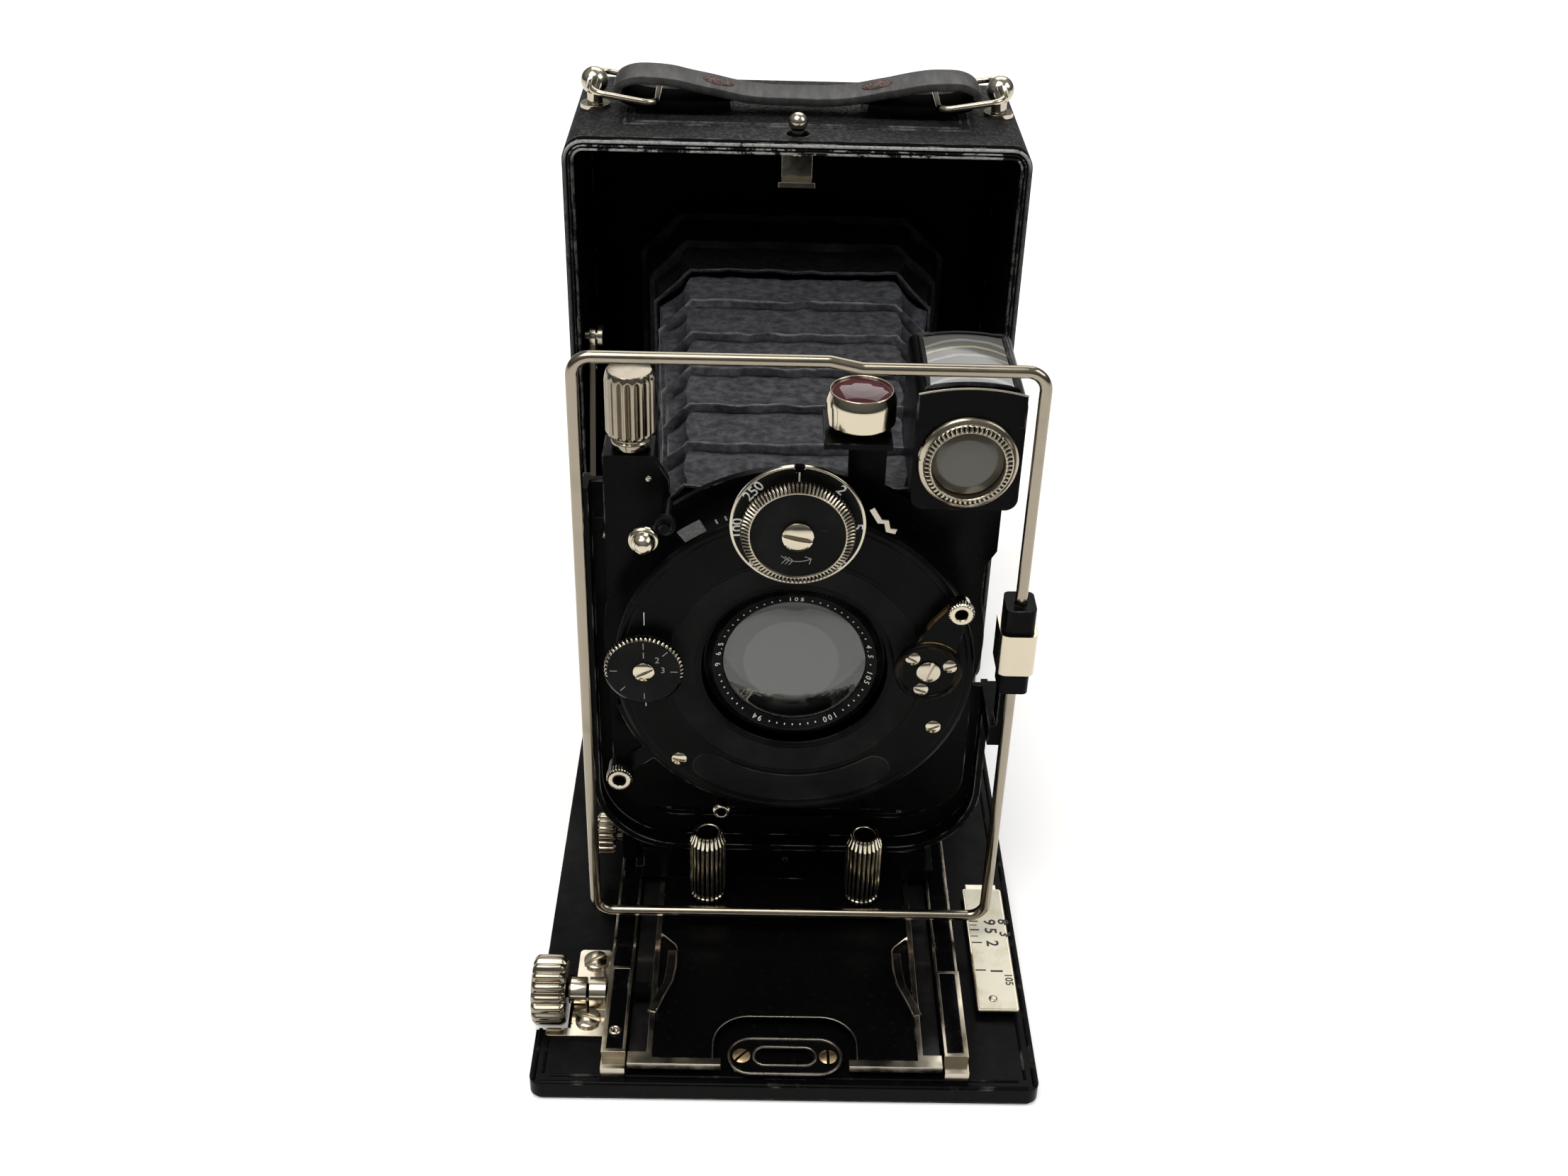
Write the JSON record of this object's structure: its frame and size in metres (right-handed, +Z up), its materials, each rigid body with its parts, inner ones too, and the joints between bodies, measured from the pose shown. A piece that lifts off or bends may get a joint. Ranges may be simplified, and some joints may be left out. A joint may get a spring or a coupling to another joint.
{
  "type": "view camera",
  "caption": "Folding plate camera with its bed open: leather-covered body, bellows, shifting and rising lens standard, dial-set leaf shutter, finders and focusing back.",
  "frame": {"origin": "mouth of the tripod bush on the underside of the bed, on the camera's middle line", "axes": "+Y from the front of the open bed towards the back of the body, +X to the right seen from the front, +Z up"},
  "size_m": [0.088, 0.1718, 0.1296],
  "materials": {
    "black_enamel": "gloss black enamel, worn at the edges",
    "black_leather": "pebbled black leather",
    "strap_leather": "smooth black leather, creased",
    "bellows_leather": "matt blue-black leather over card",
    "nickel": "polished nickel plate, slightly yellowed",
    "shutter_black": "satin black",
    "brass": "dull brass",
    "ivory": "ivory celluloid",
    "clear_glass": "polished",
    "ground_glass": "ground",
    "red_glass": "polished"
  },
  "bodies": {
    "camera_body": {"body_shell": "black_enamel", "body_leather": "black_leather", "hinge_pin": "nickel", "body_rails": "black_enamel", "strut_studs": "nickel", "strap_posts": "nickel", "back_rails": "black_enamel", "bellows": "bellows_leather"},
    "back": {"ground_glass_frame": "black_enamel", "ground_glass": "ground_glass", "focusing_hood": "black_enamel"},
    "hood_lid": {"hood_lid": "black_enamel"},
    "latch": {"latch": "nickel"},
    "strap": {"hand_strap": "strap_leather"},
    "left_ring": {"left_ring": "nickel"},
    "right_ring": {"right_ring": "nickel"},
    "bed": {"bed_plate": "black_enamel", "bed_leather": "black_leather", "tripod_bush": "brass", "outer_rails": "nickel", "rail_inlays": "black_enamel", "rail_feet": "nickel", "bearing_plate": "nickel", "bed_screws": "nickel", "distance_scale": "ivory", "scale_bracket": "nickel", "catch_plate": "nickel"},
    "left_strut": {"left_strut": "black_enamel"},
    "right_strut": {"right_strut": "black_enamel"},
    "focus_knob": {"focus_knob": "nickel", "focus_pinion": "nickel"},
    "carriage": {"carriage_plate": "black_enamel", "carriage_rails": "nickel"},
    "standard": {"standard_base": "black_enamel"},
    "left_grip": {"left_grip": "nickel"},
    "right_grip": {"right_grip": "nickel"},
    "shift_knob": {"shift_knob": "nickel"},
    "u_frame": {"u_frame": "black_enamel", "frame_clip": "black_enamel", "clip_band": "nickel"},
    "wire_frame": {"wire_frame": "nickel"},
    "lens_board": {"lens_board": "black_enamel", "shutter_housing": "black_enamel", "shutter_face": "shutter_black", "shutter_blades": "shutter_black", "iris_blades": "shutter_black", "lens_barrel": "black_enamel", "lens_elements": "clear_glass", "level_cup": "nickel", "level_glass": "red_glass"},
    "rise_knob": {"rise_knob": "nickel"},
    "speed_dial": {"speed_dial": "shutter_black", "speed_dial_ring": "nickel"},
    "mode_dial": {"mode_dial": "shutter_black"},
    "cocking_lever": {"cocking_lever": "shutter_black"},
    "release_lever": {"release_lever": "nickel"},
    "aperture_lever": {"aperture_lever": "black_enamel"},
    "finder": {"finder_body": "black_enamel", "finder_optics": "clear_glass", "finder_bezel": "nickel"}
  },
  "joints": [
    {"name": "bed_fold", "type": "hinge", "parent": "camera_body", "child": "bed", "pos_m": [0, 0.0382, 0.0017], "axis": [1, 0, 0], "range_deg": [-15, 0]},
    {"name": "left_strut_turn", "type": "hinge", "parent": "bed", "child": "left_strut", "pos_m": [-0.0406, 0.028, 0.0065], "axis": [1, 0, 0], "range_deg": [0, 16]},
    {"name": "right_strut_turn", "type": "hinge", "parent": "bed", "child": "right_strut", "pos_m": [0.0406, 0.028, 0.0065], "axis": [1, 0, 0], "range_deg": [0, 16]},
    {"name": "focus_slide", "type": "slide", "parent": "bed", "child": "carriage", "axis": [0, -1, 0], "range_m": [0, 0.013]},
    {"name": "focus_knob_turn", "type": "hinge", "parent": "bed", "child": "focus_knob", "pos_m": [-0.04, -0.0613, 0.0063], "axis": [-1, 0, 0], "range_deg": [0, 470]},
    {"name": "standard_slide", "type": "slide", "parent": "carriage", "child": "standard", "axis": [0, 1, 0], "range_m": [0, 0.082], "deforming": ["bellows"]},
    {"name": "left_grip_squeeze", "type": "slide", "parent": "standard", "child": "left_grip", "axis": [1, 0, 0], "range_m": [0, 0.002], "stiffness_N_per_m": 400},
    {"name": "right_grip_squeeze", "type": "slide", "parent": "standard", "child": "right_grip", "axis": [-1, 0, 0], "range_m": [0, 0.002]},
    {"name": "shift", "type": "slide", "parent": "standard", "child": "u_frame", "axis": [1, 0, 0], "range_m": [-0.003, 0.003]},
    {"name": "shift_knob_turn", "type": "hinge", "parent": "standard", "child": "shift_knob", "pos_m": [-0.033, -0.0278, 0.0126], "axis": [1, 0, 0], "range_deg": [-361, 361]},
    {"name": "wire_frame_swing", "type": "hinge", "parent": "u_frame", "child": "wire_frame", "pos_m": [0.0356, -0.0455, 0.06], "axis": [0, 0, 1], "range_deg": [0, 180]},
    {"name": "rise", "type": "slide", "parent": "u_frame", "child": "lens_board", "axis": [0, 0, -1], "range_m": [-0.008, 0]},
    {"name": "rise_knob_turn", "type": "hinge", "parent": "lens_board", "child": "rise_knob", "pos_m": [-0.0265, -0.03, 0.1], "axis": [0, 0, 1], "range_deg": [-722, 0]},
    {"name": "speed_dial_turn", "type": "hinge", "parent": "lens_board", "child": "speed_dial", "pos_m": [0, -0.045, 0.0903], "axis": [0, -1, 0], "range_deg": [0, 300]},
    {"name": "mode_dial_turn", "type": "hinge", "parent": "lens_board", "child": "mode_dial", "pos_m": [-0.0241, -0.045, 0.0629], "axis": [0, -1, 0], "range_deg": [-45, 45]},
    {"name": "cocking_lever_turn", "type": "hinge", "parent": "lens_board", "child": "cocking_lever", "pos_m": [0.0219, -0.045, 0.0636], "axis": [0, -1, 0], "range_deg": [0, 60], "stiffness_Nm_per_rad": 0.002},
    {"name": "release_lever_press", "type": "hinge", "parent": "lens_board", "child": "release_lever", "pos_m": [-0.0206, -0.041, 0.0874], "axis": [0, -1, 0], "range_deg": [0, 8], "stiffness_Nm_per_rad": 0.005},
    {"name": "aperture_lever_turn", "type": "hinge", "parent": "lens_board", "child": "aperture_lever", "pos_m": [0.0003, -0.04, 0.0614], "axis": [0, -1, 0], "range_deg": [0, 25]},
    {"name": "finder_turn", "type": "hinge", "parent": "lens_board", "child": "finder", "pos_m": [0.0256, -0.019, 0.1002], "axis": [0, -1, 0], "range_deg": [-90, 0]},
    {"name": "latch_press", "type": "slide", "parent": "camera_body", "child": "latch", "axis": [0, 0, 1], "range_m": [-0.0013, 0], "stiffness_N_per_m": 500},
    {"name": "strap_lift", "type": "slide", "parent": "camera_body", "child": "strap", "axis": [0, 0, 1], "range_m": [0, 0.0047]},
    {"name": "right_ring_swing", "type": "hinge", "parent": "camera_body", "child": "right_ring", "pos_m": [0.0393, 0.06, 0.127], "axis": [0, 1, 0], "range_deg": [0, 22]},
    {"name": "left_ring_swing", "type": "hinge", "parent": "camera_body", "child": "left_ring", "pos_m": [-0.0393, 0.06, 0.127], "axis": [0, -1, 0], "range_deg": [0, 22]},
    {"name": "back_slide", "type": "slide", "parent": "camera_body", "child": "back", "axis": [0, 0, 1], "range_m": [0, 0.118]},
    {"name": "hood_open", "type": "hinge", "parent": "back", "child": "hood_lid", "pos_m": [0, 0.0901, 0.1105], "axis": [1, 0, 0], "range_deg": [0, 100]}
  ],
  "couplings": [
    {"joint": "left_strut_turn", "follows": "bed_fold", "ratio": -1.037},
    {"joint": "right_strut_turn", "follows": "bed_fold", "ratio": -1.037},
    {"joint": "focus_knob_turn", "follows": "focus_slide", "rad_per_m": 625},
    {"joint": "right_grip_squeeze", "follows": "left_grip_squeeze", "ratio": 1},
    {"joint": "shift_knob_turn", "follows": "shift", "rad_per_m": 2094.4},
    {"joint": "rise_knob_turn", "follows": "rise", "rad_per_m": 1570.8},
    {"joint": "right_ring_swing", "follows": "strap_lift", "rad_per_m": 80.84},
    {"joint": "left_ring_swing", "follows": "strap_lift", "rad_per_m": 80.84}
  ]
}
